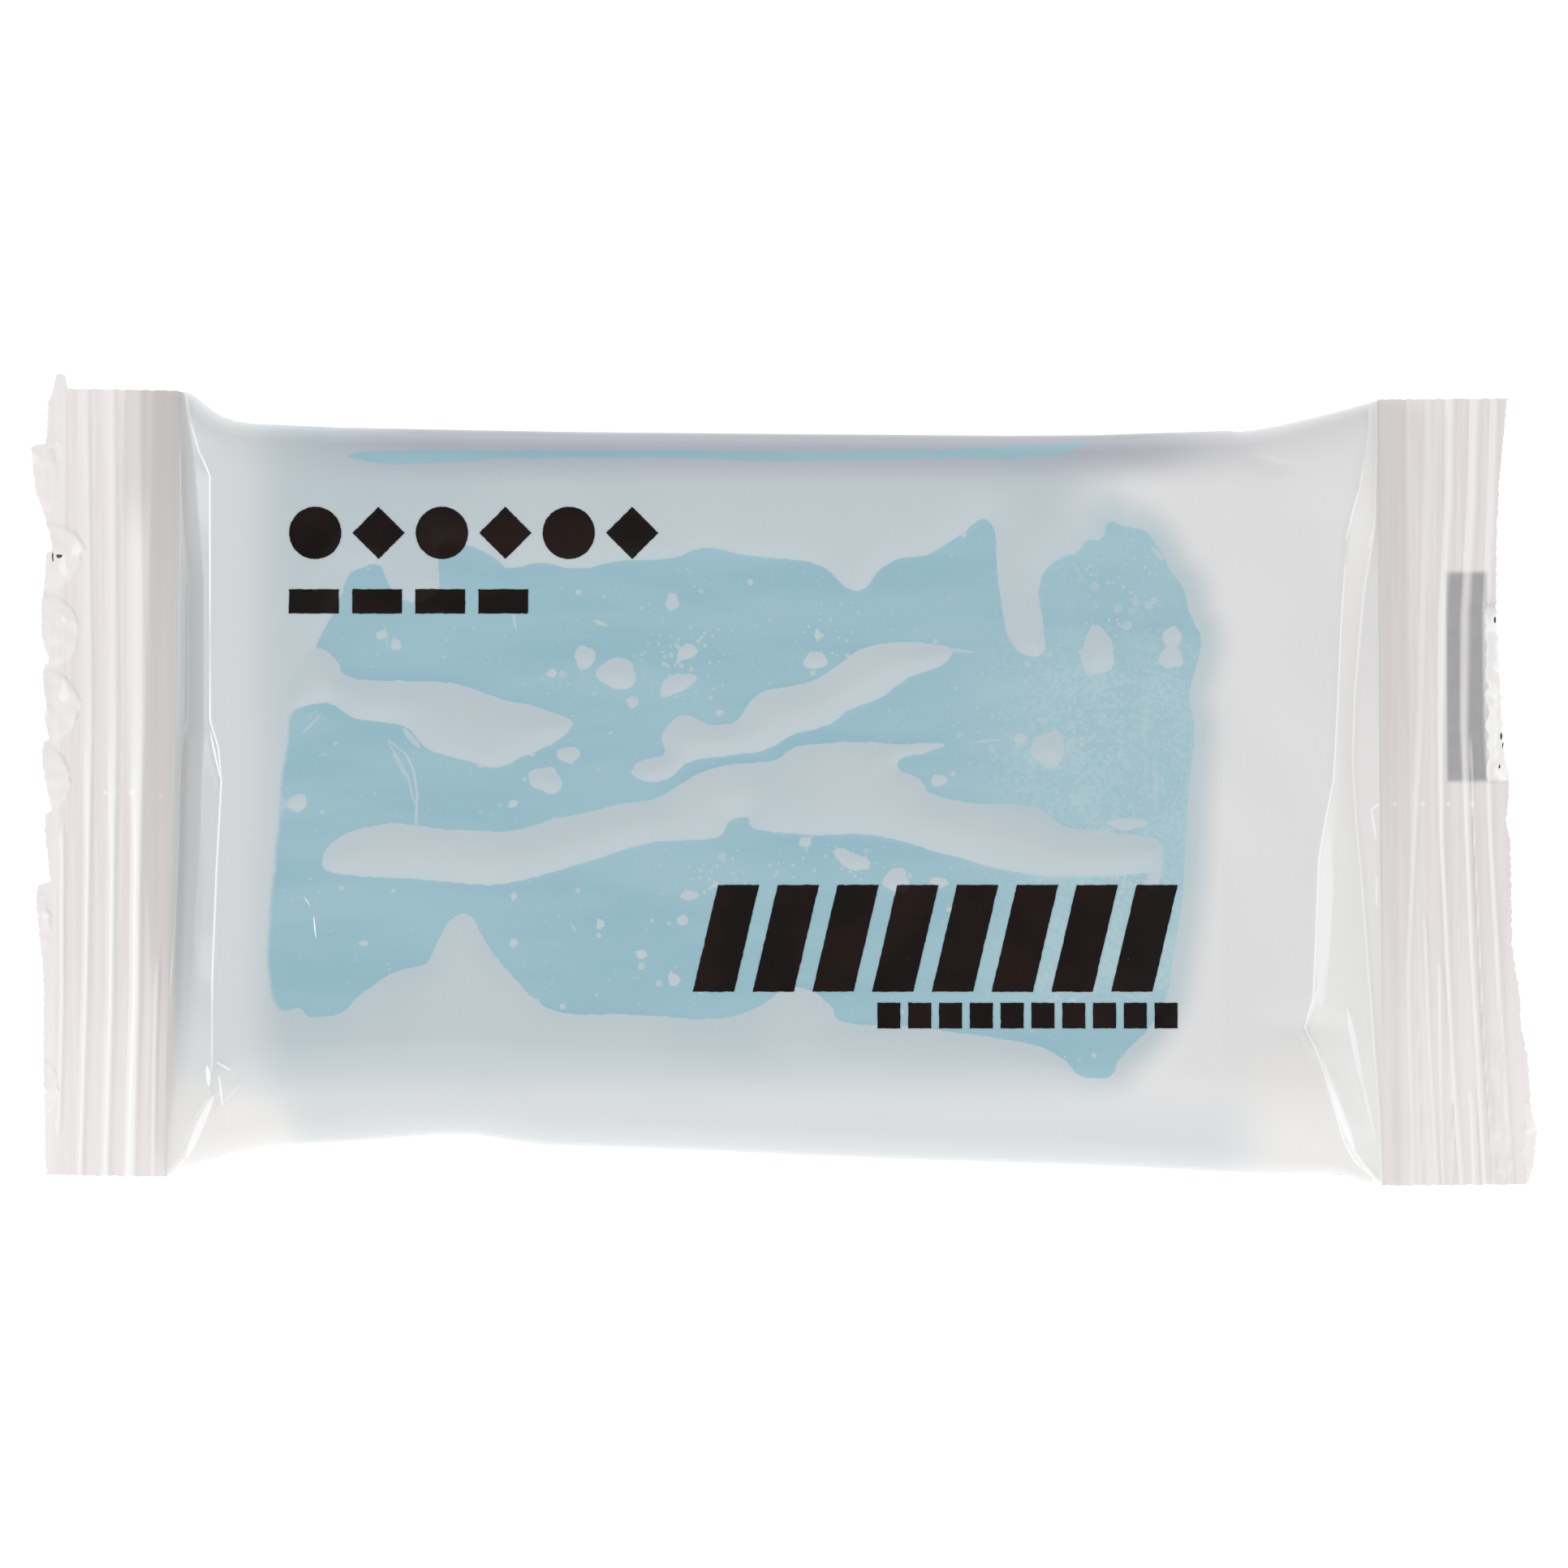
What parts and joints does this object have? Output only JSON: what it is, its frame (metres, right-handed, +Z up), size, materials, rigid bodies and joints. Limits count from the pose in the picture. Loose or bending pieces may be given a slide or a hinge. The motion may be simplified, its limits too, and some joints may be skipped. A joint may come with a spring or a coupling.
{
  "type": "clay bar",
  "caption": "Blue detailing clay bar sealed in a milky flow-wrapped film sachet with crimped ends and a back fin seal.",
  "frame": {"origin": "centre of the sachet's footprint, on the surface it lies on", "axes": "+X along the length towards the wide-sloped end, +Y across towards the title print's edge, +Z up out of the printed front"},
  "size_m": [0.1362, 0.0733, 0.0131],
  "materials": {
    "clay": "matt, slightly tacky",
    "milky_film": "gloss, milky",
    "crimped_film": "satin, crimped",
    "print_ink": "gloss",
    "mark_ink": "matt"
  },
  "bodies": {
    "root": {"clay_bar": "clay", "front_film": "milky_film", "back_film_upper": "milky_film", "back_film_lower": "milky_film", "fin_seal": "crimped_film", "left_end_seal": "crimped_film", "right_end_seal": "crimped_film", "title_print": "print_ink", "subtitle_print": "print_ink", "emblem_print": "print_ink", "tagline_print": "print_ink", "eye_mark": "mark_ink"}
  },
  "joints": []
}
